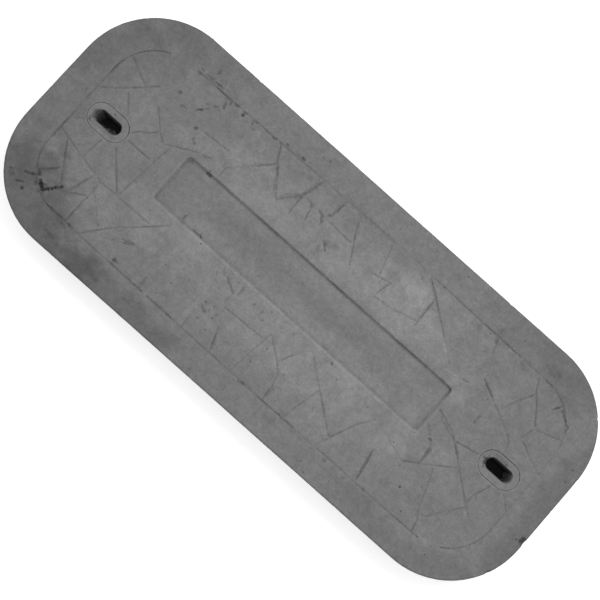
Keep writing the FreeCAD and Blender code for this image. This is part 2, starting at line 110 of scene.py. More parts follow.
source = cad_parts["cover_slab"]
slab = bpy.data.objects.new("weathered_slab", source.data.copy())
bpy.context.scene.collection.objects.link(slab)
select_only(slab)
bpy.ops.object.mode_set(mode="EDIT")
bpy.ops.mesh.select_all(action="SELECT")
bpy.ops.mesh.remove_doubles(threshold=0.001 * MM)
bpy.ops.object.mode_set(mode="OBJECT")
apply_modifier(slab, "REMESH", mode="VOXEL", voxel_size=VOXEL, use_smooth_shade=True)
apply_modifier(slab, "SMOOTH", factor=0.5, iterations=SMOOTHINGS)
print("faces after the remesh:", len(slab.data.polygons))

# %% [markdown]
# ## Joints that dust has filled
#
# Seventy-nine joints of one depth would look drawn. On the real cover feet and dust have evened
# them out: some are open, some are half full, and a few can hardly be found. So every point in a
# groove is lifted towards the face by a share that wanders along the joint, and by more at the
# places listed here. The gap round each socket's rim is choked in the same way. Nothing is lifted
# above the face, and the finish follows the new depth by itself.

# %% Fill the joints
FILLED = [
    # X, Y, half length, half width, turn in degrees, share of the depth that is filled
    (-145, -82, 21, 6, -33, 0.85),
    (-213, -75, 15, 6, -46, 0.55),
    (-127, -66, 24, 6, 84, 0.65),
    (-78, -72, 34, 7, 86, 0.75),
    (-49, -70, 12, 6, -62, 0.60),
    (-28, 76, 30, 5, -3, 0.30),
    (-137, 59, 13, 6, 42, 0.40),
    (143, 57, 13, 6, -38, 0.55),
    (218, 76, 26, 6, -80, 0.75),
    (186, 73, 15, 6, -66, 0.75),
    (236, 43, 18, 6, -26, 0.35),
    (38, -40, 14, 7, 30, 0.55),
    (23, -43, 9, 6, -50, 0.50),
    (150, 78, 26, 6, 84, 0.40),
    (168, -52, 18, 6, -14, 0.50),
    (-29, 64, 9, 5, -46, 0.50),
    (24, 64, 13, 5, 12, 0.65),
    (-4, -78, 26, 6, 84, 0.30),
    (-190, -48, 26, 5, 0, 0.30),
    (60, 103, 32, 5, 0, 0.55),
    (-30, 104, 46, 5, 0, 0.35),
    (-122, -103, 3, 4, 0, 0.95),
    (298, 25, 45, 5, 90, 0.45),
    (252, -102, 5, 5, 0, 0.80),
]
FILLED_EVERYWHERE = 0.30
FILLED_ROUND_SOCKETS = 0.95
FILLING_WANDERS_OVER = 24 * MM
DEEPEST_JOINT = 1.6 * MM
CLEAR_OF_ARRIS = 8 * MM
CLEAR_OF_PANEL = 1 * MM
RING_REACH = 3 * MM
PANEL_CENTRE = (-2.4 * MM, 3.3 * MM)
PANEL_HALF = (177.2 * MM, 27.0 * MM)
PANEL_BEVEL = 3.8 * MM
SLAB_CORNER = 92.0 * MM
SOCKET_CENTRES = ((-265.0 * MM, 1.0 * MM), (265.0 * MM, 1.0 * MM))
RIM_HALF = (23.7 * MM, 14.7 * MM)


def outside_by(x, y, half, radius):
    """How far a place is outside a rounded rectangle about the centre, less than nothing inside."""
    along = abs(x) - half[0] + radius
    across = abs(y) - half[1] + radius
    corner = np.hypot(np.maximum(along, 0), np.maximum(across, 0))
    return corner + np.minimum(np.maximum(along, across), 0) - radius


points = points_of(slab.data)
x, y, z = points.T
slab_half = ((slab_high.x - slab_low.x) / 2, (slab_high.y - slab_low.y) / 2)
shallow = (z > top - DEEPEST_JOINT) & (z < top - 0.01 * MM)
shallow &= outside_by(x, y, slab_half, SLAB_CORNER) < -CLEAR_OF_ARRIS
from_panel = outside_by(x - PANEL_CENTRE[0], y - PANEL_CENTRE[1], PANEL_HALF, 2 * MM)
shallow &= from_panel > PANEL_BEVEL + CLEAR_OF_PANEL
grooved = np.flatnonzero(shallow)
x, y, z = points[grooved].T
wandering = [noise.noise(Vector(points[place]) / FILLING_WANDERS_OVER) for place in grooved]
wandering = np.array(wandering)
share = FILLED_EVERYWHERE * np.clip(0.5 + 1.3 * wandering, 0, 1)
for centre_x, centre_y, half_length, half_width, turn, filled in FILLED:
    angle = math.radians(turn)
    along = (x - centre_x * MM) * math.cos(angle) + (y - centre_y * MM) * math.sin(angle)
    across = (y - centre_y * MM) * math.cos(angle) - (x - centre_x * MM) * math.sin(angle)
    reach = np.hypot(along / (half_length * MM), across / (half_width * MM))
    share = np.maximum(share, filled * np.clip(3.5 - 3 * reach, 0, 1))
for centre_x, centre_y in SOCKET_CENTRES:
    ring = outside_by(x - centre_x, y - centre_y, RIM_HALF, RIM_HALF[1])
    choked = FILLED_ROUND_SOCKETS * np.clip(0.8 + 1.5 * wandering, 0, 1)
    share = np.maximum(share, choked * (ring < RING_REACH))
points[grooved, 2] += ((top - z) * share).astype(np.float32)
slab.data.vertices.foreach_set("co", points.ravel())
slab.data.update()
print("points in grooves:", len(grooved), "filled on average by", round(float(share.mean()), 2))

# %% [markdown]
# ## An uneven skin
#
# Under a low sun the face of such a cover is never quite flat. The mould's sheet was sprung by the
# weight of the mix, which leaves slow waves, and wear leaves shallow dimples between the stones.
# Two displacements do this, one for each size of unevenness. Their middle level is 1, so they only
# ever press inwards and the slab keeps inside its drawn size.

# %% Press the waves and dimples into the skin
UNEVENNESS = [
    # Name, distance between rises, depth
    ("mould_waves", 38.0 * MM, 0.30 * MM),
    ("worn_dimples", 7.0 * MM, 0.24 * MM),
]
for name, spacing, depth in UNEVENNESS:
    texture = bpy.data.textures.new(name, "CLOUDS")
    texture.noise_scale = spacing
    texture.noise_depth = 2
    apply_modifier(slab, "DISPLACE", texture=texture, texture_coords="LOCAL", strength=depth,
                   mid_level=1.0)
    print(name, "pressed in by up to", round(depth / MM, 2), "mm")

# %% [markdown]
# ## Air holes
#
# Bubbles trapped against the mould leave round holes when the skin over them breaks. The face was
# the bottom of the mould, where few bubbles stay, but they cling to its upright sides, and the back
# was only struck off level. So the holes are many on the sides, some on the back, and few and small
# on the face. Each one is pressed in like a thumb mark, at a place drawn by a seeded generator.

# %% Press the air holes in
AIR_HOLES = [
    # Where, how many, smallest and largest radius
    ("face", 110, 0.7 * MM, 1.1 * MM),
    ("sides", 520, 0.8 * MM, 2.3 * MM),
    ("back", 420, 0.8 * MM, 2.6 * MM),
]
HOLE_DEPTH = 0.8
FLAT_SKIN = 1.0 * MM
chance = np.random.default_rng(4)
points = points_of(slab.data)
normals = normals_of(slab.data)
tree = KDTree(len(points))
for number, point in enumerate(points):
    tree.insert(point, number)
tree.balance()
facing = {
    "face": (normals[:, 2] > 0.95) & (points[:, 2] > top - FLAT_SKIN),
    "sides": (np.abs(normals[:, 2]) < 0.3) & (np.abs(points[:, 1]) > 60 * MM),
    "back": (normals[:, 2] < -0.95) & (points[:, 2] < FLAT_SKIN),
}
facing["sides"] |= (np.abs(normals[:, 2]) < 0.3) & (np.abs(points[:, 0]) > 300 * MM)
pressed = points.copy()
for where, count, smallest, largest in AIR_HOLES:
    places = np.flatnonzero(facing[where])
    for place in chance.choice(places, count, replace=False):
        radius = smallest + (largest - smallest) * chance.random() ** 3
        near = tree.find_range(Vector(points[place]), radius)
        for _, number, distance in near:
            inward = radius * HOLE_DEPTH * math.sqrt(max(0.0, 1 - (distance / radius) ** 2))
            pressed[number] = points[number] - normals[place] * inward
slab.data.vertices.foreach_set("co", pressed.ravel())
slab.data.update()
print("air holes:", sum(count for _, count, _, _ in AIR_HOLES))

# %% [markdown]
# ## How hollow each place is
#
# Dirt settles where water stands, and shoes polish what stands out. Both follow from one measure:
# how far a point lies below the average of its neighbours. It is worked out by smoothing a copy of
# the points and comparing, a few rounds for narrow hollows such as the grooves and more for wide
# ones such as the foot of the panel's wall. The two are kept on the mesh for the material to read.

# %% Measure the hollows
def smoothed(values, edges, rounds):
    count = np.bincount(edges.ravel(), minlength=len(values))
    for _ in range(rounds):
        total = np.zeros_like(values)
        for axis in range(3):
            for here, there in ((0, 1), (1, 0)):
                total[:, axis] += np.bincount(edges[:, here], values[edges[:, there], axis], len(values))
        values = total / count[:, None]
    return values


points = points_of(slab.data).astype(float)
normals = normals_of(slab.data)
edges = np.zeros(len(slab.data.edges) * 2, np.int32)
slab.data.edges.foreach_get("vertices", edges)
edges = edges.reshape(-1, 2)
for name, reach in (("hollow", 1.6 * MM), ("wide_hollow", 4.5 * MM)):
    rounds = max(2, round(2 * (reach / VOXEL) ** 2))
    depth = ((smoothed(points, edges, rounds) - points) * normals).sum(axis=1)
    attribute = slab.data.attributes.new(name, "FLOAT", "POINT")
    attribute.data.foreach_set("value", (depth / MM).astype(np.float32))
    print(name, "in", rounds, "rounds, deepest", round(float(depth.max() / MM), 2), "mm")

# %% [markdown]
# ## Fewer faces where nothing happens
#
# The even mesh has over a million triangles. Decimation keeps those that carry a bend and merges
# the rest. It is done in two steps. The first takes only from the sides and the back, by a vertex
# group, because people look at the face. The second takes from all over, down to what a piece may
# have. One step with the group would strip the back to splinters before it touched the face. What
# still stands out of the slab's box by a hair is brought back in.

# %% Thin the mesh
MOST_TRIANGLES = 192_000
SHARE_AFTER_FIRST = 0.55
FACE_ZONE = 6 * MM


def triangle_count():
    return sum(len(face.vertices) - 2 for face in slab.data.polygons)


triangles = triangle_count()
lower = slab.vertex_groups.new(name="lower")
for number in np.flatnonzero(points[:, 2] < top - FACE_ZONE):
    lower.add([int(number)], 1.0, "REPLACE")
apply_modifier(slab, "DECIMATE", ratio=SHARE_AFTER_FIRST, vertex_group="lower", vertex_group_factor=1.0)
slab.vertex_groups.remove(slab.vertex_groups["lower"])
between = triangle_count()
apply_modifier(slab, "DECIMATE", ratio=min(1.0, MOST_TRIANGLES / between))
points = points_of(slab.data)
inside_box = np.clip(points, slab_low, slab_high)
slab.data.vertices.foreach_set("co", inside_box.astype(np.float32).ravel())
slab.data.update()
print("triangles:", triangles, "thinned to", between, "and then to", triangle_count())

select_only(slab)
bpy.ops.object.shade_smooth()
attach(slab, "root")
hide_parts("cover_slab")

# %% [markdown]
# ## A short way to write nodes
#
# A material is a list of nodes and what feeds what. One helper adds a node, sets its options, and
# takes either a number or another node's output for each input, so that a material reads from top
# to bottom like a recipe. Inputs go by name, or by place where names repeat.

# %% Helpers for nodes
def put(tree, kind, inputs=None, **settings):
    made = tree.nodes.new("ShaderNode" + kind)
    for name, value in settings.items():
        setattr(made, name, value)
    for name, value in (inputs or {}).items():
        if isinstance(value, bpy.types.NodeSocket):
            tree.links.new(value, made.inputs[name])
        else:
            made.inputs[name].default_value = value
    return made


def sum_of(tree, operation, first, second=0.0, third=0.0):
    """One Math node, by the name of its operation."""
    return put(tree, "Math", {0: first, 1: second, 2: third}, operation=operation).outputs[0]


def changed(tree, tone, mask, change):
    """The tone, times one plus the change where the mask is 1."""
    return sum_of(tree, "MULTIPLY", tone, sum_of(tree, "MULTIPLY_ADD", mask, change, 1.0))


def spread(tree, value, low, high, new_low, new_high, smooth=False):
    """Maps low..high to new_low..new_high, and holds the ends."""
    kind = "SMOOTHSTEP" if smooth else "LINEAR"
    made = put(tree, "MapRange", {"Value": value, "From Min": low, "From Max": high, "To Min": new_low,
                                  "To Max": new_high}, interpolation_type=kind, clamp=True)
    return made.outputs["Result"]


def new_group(name, inputs, outputs):
    """An empty node group with named sockets, and its input and output nodes."""
    tree = bpy.data.node_groups.new(name, "ShaderNodeTree")
    for label, kind, default in inputs:
        socket = tree.interface.new_socket(label, in_out="INPUT", socket_type="NodeSocket" + kind)
        if default is not None:
            socket.default_value = default
    for label, kind in outputs:
        tree.interface.new_socket(label, in_out="OUTPUT", socket_type="NodeSocket" + kind)
    return tree, tree.nodes.new("NodeGroupInput").outputs, tree.nodes.new("NodeGroupOutput").inputs


def use_group(tree, group, inputs):
    made = tree.nodes.new("ShaderNodeGroup")
    made.node_tree = group
    for name, value in inputs.items():
        if isinstance(value, bpy.types.NodeSocket):
            tree.links.new(value, made.inputs[name])
        else:
            made.inputs[name].default_value = value
    return made.outputs


# %% [markdown]
# ## Mottling
#
# No two hand's breadths of weathered concrete have the same grey. Cement and water varied in the
# mix, and lichen, soot and rain followed. One group gives a tone about 1 that varies over a chosen
# distance by a chosen share. Used at several distances at once it gives the cloudy look, and the
# dusty mouldings use it too.

# %% The mottling group
mottling, given, result = new_group(
    "mottling",
    [("Vector", "Vector", None), ("Distance", "Float", 20 * MM), ("Share", "Float", 0.1)],
    [("Tone", "Float"), ("Rise", "Float")],
)
per_metre = sum_of(mottling, "DIVIDE", 1.0, given["Distance"])
clouds = put(mottling, "TexNoise", {"Vector": given["Vector"], "Scale": per_metre, "Detail": 3.0,
                                    "Roughness": 0.6})
centred = sum_of(mottling, "SUBTRACT", clouds.outputs["Fac"], 0.5)
doubled = sum_of(mottling, "MULTIPLY", centred, 4.0)
tone = sum_of(mottling, "MULTIPLY_ADD", doubled, given["Share"], 1.0)
mottling.links.new(tone, result["Tone"])
mottling.links.new(centred, result["Rise"])
print("group:", mottling.name)

# %% [markdown]
# ## Pin holes and grit
#
# Below a millimetre, air holes and sand grains are too small to model. A Voronoi pattern scatters
# one spot to a cell, and each cell's own random colour says whether the spot is there at all and
# how large it is, so that the spots look strewn and not laid out.

# %% The speck group
specks, given, result = new_group(
    "specks",
    [("Vector", "Vector", None), ("Spacing", "Float", 6 * MM), ("Radius", "Float", 0.5 * MM),
     ("Share", "Float", 0.3)],
    [("Mask", "Float")],
)
per_metre = sum_of(specks, "DIVIDE", 1.0, given["Spacing"])
cells = put(specks, "TexVoronoi", {"Vector": given["Vector"], "Scale": per_metre})
random = put(specks, "SeparateColor", {"Color": cells.outputs["Color"]}).outputs
own_radius = sum_of(specks, "MULTIPLY", given["Radius"], spread(specks, random["Green"], 0, 1, 0.4, 1.0))
distance = sum_of(specks, "MULTIPLY", cells.outputs["Distance"], given["Spacing"])
share_out = sum_of(specks, "DIVIDE", distance, own_radius)
spot = spread(specks, share_out, 0.6, 1.1, 1.0, 0.0, smooth=True)
there = sum_of(specks, "LESS_THAN", random["Red"], given["Share"])
specks.links.new(sum_of(specks, "MULTIPLY", spot, there), result["Mask"])
print("group:", specks.name)

# %% [markdown]
# ## Marks in known places
#
# The cover's stains, and its few marks of painted light and shade, are where they are, and a random
# pattern never puts them there. So one group changes a tone inside an oval at a given centre, and it is
# used once for each mark. Along and Across say how the oval is turned and stretched: each points one way
# and is as long as one over the half length. Uneven is a noise that is added to the distance, so that no
# edge is smooth.

# %% The mark group
mark, given, result = new_group(
    "mark",
    [("Vector", "Vector", None), ("Centre", "Vector", None), ("Along", "Vector", None),
     ("Across", "Vector", None), ("Uneven", "Float", 0.0), ("Tone", "Float", 1.0),
     ("Change", "Float", 0.0)],
    [("Tone", "Float")],
)
moved = put(mark, "VectorMath", {0: given["Vector"], 1: given["Centre"]}, operation="SUBTRACT")
along = put(mark, "VectorMath", {0: moved.outputs[0], 1: given["Along"]}, operation="DOT_PRODUCT")
across = put(mark, "VectorMath", {0: moved.outputs[0], 1: given["Across"]}, operation="DOT_PRODUCT")
along, across = along.outputs["Value"], across.outputs["Value"]
reach = sum_of(mark, "MULTIPLY_ADD", along, along, given["Uneven"])
reach = sum_of(mark, "MULTIPLY_ADD", across, across, reach)
inside = spread(mark, reach, 0.3, 1.5, 1.0, 0.0, smooth=True)
change = sum_of(mark, "MULTIPLY_ADD", inside, given["Change"], 1.0)
mark.links.new(sum_of(mark, "MULTIPLY", given["Tone"], change), result["Tone"])
print("group:", mark.name)


def marked(tree, place, uneven, tone, marks):
    """The tone with every mark of a list on it."""
    for x, y, half_length, half_width, turn, change in marks:
        angle = math.radians(turn)
        along = Vector((math.cos(angle), math.sin(angle), 0.0)) / (half_length * MM)
        across = Vector((-math.sin(angle), math.cos(angle), 0.0)) / (half_width * MM)
        tone = use_group(tree, mark, {"Vector": place, "Centre": (x * MM, y * MM, 0.0), "Along": along,
                                      "Across": across, "Uneven": uneven, "Tone": tone,
                                      "Change": change})["Tone"]
    return tone


# %% [markdown]
# ## Ragged edges
#
# Moss and dust never stop along a clean line. One noise serves both materials. Its value is the
# unevenness that the marks take, and its colour is a random direction, which pushes the place a
# little, so that a line of dirt or an oval bends out of shape.

# %% The raggedness group
raggedness, given, result = new_group(
    "raggedness",
    [("Vector", "Vector", None)],
    [("Uneven", "Float"), ("Colour", "Color")],
)
wander = put(raggedness, "TexNoise", {"Vector": given["Vector"], "Scale": 1 / (4 * MM), "Detail": 3.0,
                                      "Roughness": 0.65}).outputs
raggedness.links.new(spread(raggedness, wander["Fac"], 0.3, 0.7, -0.9, 0.9), result["Uneven"])
raggedness.links.new(wander["Color"], result["Colour"])
print("group:", raggedness.name)


def pushed(tree, place, colour, reach):
    """The place, moved sideways by up to half of the reach."""
    away = put(tree, "VectorMath", {0: colour, 1: (0.5, 0.5, 0.5)}, operation="SUBTRACT").outputs[0]
    made = put(tree, "VectorMath", {0: away, 1: (reach, reach, 0.0), 2: place}, operation="MULTIPLY_ADD")
    return made.outputs[0]


# %% [markdown]
# ## The marks, one by one
#
# First come the broad ones: the middle is paler in patches, and the ends, the long
# edges and above all the lower left corner are darker. Then the stains of a few
# millimetres, dark where dirt or moss took hold and pale where the skin is fresh, and three dark marks on
# the chips at the right end, which are painted shade. Places are in millimetres from the centre of the
# cover, as they were found on it.

# %% Where the marks are
BROAD_MARKS = [
    # X, Y, half length, half width, turn in degrees, change of tone
    (5, 52, 200, 34, 0, 0.17),
    (0, -42, 210, 34, 0, 0.19),
    (-72, 45, 32, 11, 0, 0.09),
    (20, 47, 42, 11, 0, 0.08),
    (86, 64, 42, 34, 0, 0.08),
    (-112, 42, 22, 10, 0, 0.08),
    (-52, 90, 9, 14, 0, 0.05),
    (-110, -34, 24, 10, 0, 0.08),
    (20, -34, 55, 14, 0, 0.05),
    (90, -38, 26, 14, -10, 0.06),
    (187, 30, 8, 12, 0, 0.10),
    (-275, -115, 100, 56, -25, -0.30),
    (-325, 20, 60, 120, 0, -0.13),
    (-320, -45, 34, 26, 0, 0.03),
    (-328, 58, 26, 40, 0, -0.11),
    (330, 0, 22, 110, 0, -0.20),
    (-250, 125, 90, 36, 0, -0.16),
    (255, 125, 80, 34, 0, -0.17),
    (-215, 70, 40, 34, 0, -0.05),
    (-180, 76, 26, 18, 0, -0.07),
    (168, 78, 26, 30, 0, -0.05),
    (-152, -128, 84, 18, 0, -0.25),
    (-268, -98, 40, 20, -20, -0.10),
    (275, -117, 50, 16, 20, -0.14),
    (116, 88, 70, 17, 0, 0.10),
    (150, 5, 30, 18, 0, 0.07),
    (88, 64, 34, 26, 0, 0.07),
    (90, -92, 28, 12, 0, 0.12),
    (152, 92, 22, 15, 0, 0.08),
    (-272, 95, 34, 44, 0, -0.07),
    (-210, -72, 30, 20, 0, 0.08),
    (175, -121, 60, 14, 0, -0.10),
    (0, -76, 120, 18, 0, 0.06),
    (-40, -90, 50, 12, 0, 0.02),
    (-12, 59, 9, 5, 20, -0.17),
    (-16, 88, 16, 10, 0, -0.05),
    (-150, 66, 5, 12, 10, 0.08),
]
STAINS_AND_CHIP_SHADE = [
    # X, Y, half length, half width, turn in degrees, change of tone
    # Upper left, with the worn border line
    (-205, 73.5, 3.8, 1.6, 42, -0.60),
    (-200.5, 78, 3.2, 1.2, 48, -0.28),
    (-195.5, 56.5, 3.0, 1.7, 25, -0.50),
    (-231.5, 73, 2.4, 2.0, 30, -0.40),
    (-220, 64, 3.6, 1.8, 15, -0.28),
    (-230, 51.5, 2.0, 1.6, 0, -0.24),
    (-188, 45, 4.0, 1.8, -35, -0.32),
    (-169.5, 40.5, 2.8, 2.0, -30, -0.32),
    (-165, 43, 2.4, 1.3, 30, -0.28),
    (-189, 93, 4.4, 2.0, 110, -0.38),
    (-186, 99, 3.2, 1.4, 90, -0.38),
    (-195, 86.5, 3.2, 1.9, 15, -0.30),
    (-203, 83, 2.8, 1.4, 20, -0.22),
    (-216, 116, 2.6, 1.8, 90, -0.28),
    (-230, 100, 3.2, 1.3, 90, -0.32),
    (-154, 30.2, 3.8, 1.6, 0, -0.60),
    (-155.3, 33.3, 1.4, 1.3, 0, -0.42),
    (-176.5, 27.8, 3.6, 2.0, 20, -0.30),
    (-230, 105.5, 2.4, 1.2, 0, -0.32),
    (-219, 105.4, 7.0, 1.0, 0, -0.22),
    (-207.5, 105.3, 5.5, 1.2, 0, -0.48),
    (-197, 101.9, 11.0, 1.3, 0, -0.44),
    (-179.5, 101.9, 4.4, 1.3, 0, -0.42),
    (-168.5, 102, 3.8, 1.4, 0, -0.42),
    (-155, 101.6, 3.8, 1.4, 0, -0.36),
    (-137.5, 102, 3.2, 1.2, 0, -0.30),
    (-129.5, 102.2, 3.2, 1.6, 0, -0.46),
    (-121, 102.5, 2.2, 1.7, 0, -0.30),
    (-114.5, 106.2, 2.4, 1.2, 0, -0.46),
    (-93.5, 106.2, 2.8, 1.4, 0, -0.52),
    (-99.5, 106.2, 4.4, 1.0, 0, -0.30),
    # Above the panel
    (-112, 89, 15.0, 3.0, -52, -0.09),
    (-104, 79, 5.0, 1.8, -52, -0.22),
    (-118, 75, 9.0, 1.8, 40, -0.18),
    (-97.5, 67, 8.0, 1.9, -58, -0.20),
    (-84, 94, 3.0, 2.4, 0, -0.18),
    (-77, 95.5, 7.0, 2.6, 8, -0.11),
    (-68.5, 79, 5.0, 2.5, 85, -0.26),
    (-58, 78.3, 6.0, 1.5, 0, -0.18),
    (-55, 75, 3.6, 2.2, -50, -0.24),
    (-52, 65, 6.5, 1.6, -72, -0.18),
    (-44, 77, 4.6, 1.7, -30, -0.18),
    (-18, 75, 15.0, 1.8, -2, -0.13),
    (-4.5, 88, 13.0, 1.7, -58, -0.12),
    (-65.5, 92, 12.0, 2.4, 74, -0.20),
    (-77, 70, 11.0, 2.6, 43, -0.20),
    (-72, 73, 4.0, 4.0, 0, -0.18),
    (-68, 66, 10.0, 1.8, 88, -0.14),
    (-32.5, 91, 10.0, 2.7, 86, -0.13),
    (-35, 80.5, 2.2, 1.8, 0, -0.34),
    (-38.5, 73, 5.0, 1.8, -50, -0.30),
    (-18, 54, 5.0, 1.4, -50, -0.22),
    (-21, 47.5, 3.6, 3.0, 0, -0.22),
    (-71, 123, 1.8, 1.5, 0, -0.32),
    (-25, 104.5, 30.0, 3.0, 0, -0.10),
    (14, 104.5, 18.0, 2.8, 0, -0.10),
    (100, 90.5, 17.0, 1.8, -35, -0.20),
    (102.5, 72, 17.0, 1.9, 90, -0.14),
    (155, 97, 4.4, 3.0, -40, -0.20),
    (177, 98, 4.4, 2.0, -50, -0.26),
    (175, 82, 2.2, 2.0, 0, -0.22),
    (143, 57, 8.0, 2.0, -40, 0.10),
    (163, 43, 9.0, 1.3, 12, 0.18),
    (180, 47, 4.4, 1.5, 15, -0.22),
    (155, 126, 6.0, 3.0, -30, -0.14),
    (104, 121, 4.4, 4.0, 0, -0.12),
    (113, 128.5, 2.2, 1.6, 0, -0.28),
    (165, 103, 18.0, 1.5, 0, -0.14),
    # Right end
    (195, 102.8, 14.0, 1.5, 0, -0.20),
    (246, 101.7, 6.0, 1.5, 0, -0.22),
    (212, 98.5, 2.6, 2.0, 0, -0.22),
    (243, 115, 9.0, 5.5, 0, -0.18),
    (204, 56, 12.0, 1.5, -24, -0.25),
    (214.5, 27.5, 2.8, 1.7, 90, -0.28),
    (214.5, 22, 1.7, 1.6, 0, -0.28),
    (215, 17.5, 2.0, 1.7, 0, 0.16),
    (197, -1.5, 15.0, 1.6, -22, -0.22),
    (220, -12, 10.0, 1.5, -42, -0.22),
    (191.5, -22, 2.4, 1.6, 0, -0.42),
    (198.5, -35, 12.0, 1.9, -88, -0.28),
    (252, -102, 5.0, 1.6, 0, 0.14),
    (281, 85.5, 10.5, 1.5, -31, -0.36),
    (291, 77.5, 3.4, 1.3, -68, -0.32),
    (268.8, 88, 5.4, 1.4, 55, -0.32),
    # The three dark marks on the chips at the right end are painted shade inside the chips
    (329, -37, 4.4, 2.8, 90, -0.70),
    (324, -40, 1.8, 1.6, 0, -0.45),
    (325, -84.5, 6.5, 2.2, 78, -0.50),
    (329, 43, 3.4, 2.2, 90, 0.22),
    # Along the foot of the panel's upper wall, and below the panel
    (50, 30.5, 18.0, 1.5, 0, -0.12),
    (150, 30.5, 22.0, 1.5, 0, 0.20),
    (-124, -23, 8.0, 1.4, 0, -0.32),
    (-118, -23, 2.2, 1.3, -20, -0.42),
    (-170, -76, 7.0, 1.8, 25, -0.26),
    (-166, -71.5, 6.0, 1.1, 30, 0.12),
    (-166, -98.5, 3.8, 2.1, -30, -0.32),
    (-131, -94, 7.0, 1.9, 86, -0.20),
    (-66, -38, 6.4, 1.9, -25, -0.34),
    (-57, -43, 3.8, 1.7, -35, -0.26),
    (-50.5, -36, 7.0, 1.9, 90, -0.30),
    (-76, -34, 6.0, 1.6, -50, -0.20),
    (-56, -52, 3.8, 1.7, 80, -0.22),
    (-76.5, -83, 16.0, 2.2, 88, 0.11),
    (-66.5, -75.5, 4.4, 2.3, -30, -0.42),
    (-62, -73, 2.2, 1.6, 0, -0.24),
    (-53, -72.5, 2.8, 1.9, 90, -0.22),
    (-20.5, -39, 2.8, 1.1, 60, -0.34),
    (-14, -31.5, 2.0, 1.7, 0, -0.22),
    (-58, -32, 1.9, 1.6, 0, -0.24),
    (-38, -92, 9.0, 2.0, -65, -0.20),
    (38, -93, 8.0, 2.0, 85, -0.20),
    (67, -31, 2.6, 1.7, -30, -0.34),
    (88, -34, 7.0, 5.0, -40, 0.08),
    (113, -85, 3.8, 3.6, 0, -0.22),
    (158.5, -85, 16.0, 1.9, -80, -0.28),
    (186, -85, 6.4, 5.0, 0, -0.12),
    # Along the lower border line and the lower edge
    (-225, -102, 3.2, 1.2, 0, -0.32),
    (-165, -103, 6.4, 1.3, 0, -0.26),
    (-134, -103.3, 11.0, 1.5, 0, -0.12),
    (-122, -103, 2.6, 1.6, 0, 0.14),
    (-106, -104, 10.0, 1.3, 0, -0.20),
    (-90, -104, 8.0, 1.2, 0, -0.24),
    (12.5, -105.3, 3.2, 1.4, 0, -0.36),
    (40, -105, 6.4, 1.3, 0, -0.22),
    (59, -105, 2.2, 1.2, 0, -0.30),
    (72, -105, 10.0, 1.3, 0, -0.20),
    (174, -104.5, 2.8, 1.4, 0, -0.26),
    (125, -109, 2.6, 1.7, 0, -0.22),
    (57, -115, 7.0, 4.4, 0, -0.12),
    (42, -117, 8.0, 1.6, 90, -0.12),
    (-218, -112, 5.4, 3.6, -30, -0.13),
    (-211, -116, 4.4, 4.0, 0, -0.11),
    (-226, -107, 6.4, 3.0, 0, -0.16),
    (-175, -124, 10.0, 3.8, -20, -0.13),
    (-232, -122.5, 8.0, 1.7, -8, -0.18),
    (-199, -119, 3.4, 3.0, 0, -0.08),
    (-130, -121, 5.4, 2.2, 0, -0.14),
    # Lower left, round the gouge
    (-272, -90.6, 5.6, 2.6, -39, -0.50),
    (-263.7, -88.3, 6.6, 1.7, 48, -0.36),
    (-277, -93, 3.2, 3.0, 0, -0.26),
    (-306, -98, 2.6, 1.7, 0, -0.24),
    (-302.5, -102, 4.2, 3.0, 0, -0.26),
    (-289, -89.5, 6.4, 1.3, 22, -0.32),
    (-290.5, -102, 5.4, 1.3, 30, -0.32),
    (-281.7, -83, 4.2, 2.2, -50, -0.50),
    (-285.5, -87.5, 2.6, 1.7, 25, -0.40),
    (-259, -82.5, 4.6, 2.0, 48, -0.48),
    (-255.6, -78.9, 2.3, 1.8, 0, -0.48),
    (-279, -90, 5.0, 4.2, 0, -0.16),
    (-268.5, -96.8, 5.0, 1.6, 0, -0.22),
    (-284.6, -106, 2.1, 1.9, 0, -0.46),
    (-275.5, -72.5, 6.4, 1.5, 52, -0.30),
    (-240, -101.7, 17.0, 1.2, 0, -0.40),
    (-229.5, -82, 17.0, 1.4, 90, -0.16),
    (-229, -58, 7.0, 1.4, 90, -0.12),
    (-244, -66, 14.0, 1.8, 78, -0.13),
    (-243, -77, 12.0, 1.8, 38, -0.16),
    (-296, -64, 13.0, 1.5, -71, -0.14),
    (-234, -106, 11.0, 1.0, -5, -0.22),
    # Left border line
    (-297.4, 48.5, 9.0, 1.7, 90, -0.18),
    (-297.4, -30, 20.0, 1.7, 90, -0.20),
    (-143, -17, 4.2, 1.8, 75, -0.36),
]
print(len(BROAD_MARKS), "broad marks and", len(STAINS_AND_CHIP_SHADE), "stains")

# %% [markdown]
# ## How far from an edge
#
# Some of the tone follows an edge: the dark arris round the cover, which is painted shade, the line at
# the foot of the panel's wall, which is dirt with painted shade, and the lighter tone along the gap round
# each socket. All three edges are rounded rectangles, so one group gives the distance outside one, less
# than nothing inside.

# %% The edge group
edge, given, result = new_group(
    "edge_distance",
    [("Vector", "Vector", None), ("Centre", "Vector", None), ("Half Length", "Float", 1.0),
     ("Half Width", "Float", 1.0), ("Corner", "Float", 0.1)],
    [("Distance", "Float")],
)
moved = put(edge, "VectorMath", {0: given["Vector"], 1: given["Centre"]}, operation="SUBTRACT")
parts = put(edge, "SeparateXYZ", {"Vector": moved.outputs[0]}).outputs
beyond = []
for axis, half in (("X", "Half Length"), ("Y", "Half Width")):
    from_corner = sum_of(edge, "SUBTRACT", sum_of(edge, "ABSOLUTE", parts[axis]), given[half])
    beyond.append(sum_of(edge, "ADD", from_corner, given["Corner"]))
squares = [sum_of(edge, "POWER", sum_of(edge, "MAXIMUM", side, 0.0), 2.0) for side in beyond]
corner = sum_of(edge, "SQRT", sum_of(edge, "ADD", *squares))
inside = sum_of(edge, "MINIMUM", sum_of(edge, "MAXIMUM", *beyond), 0.0)
distance = sum_of(edge, "SUBTRACT", sum_of(edge, "ADD", corner, inside), given["Corner"])
edge.links.new(distance, result["Distance"])
print("group:", edge.name)


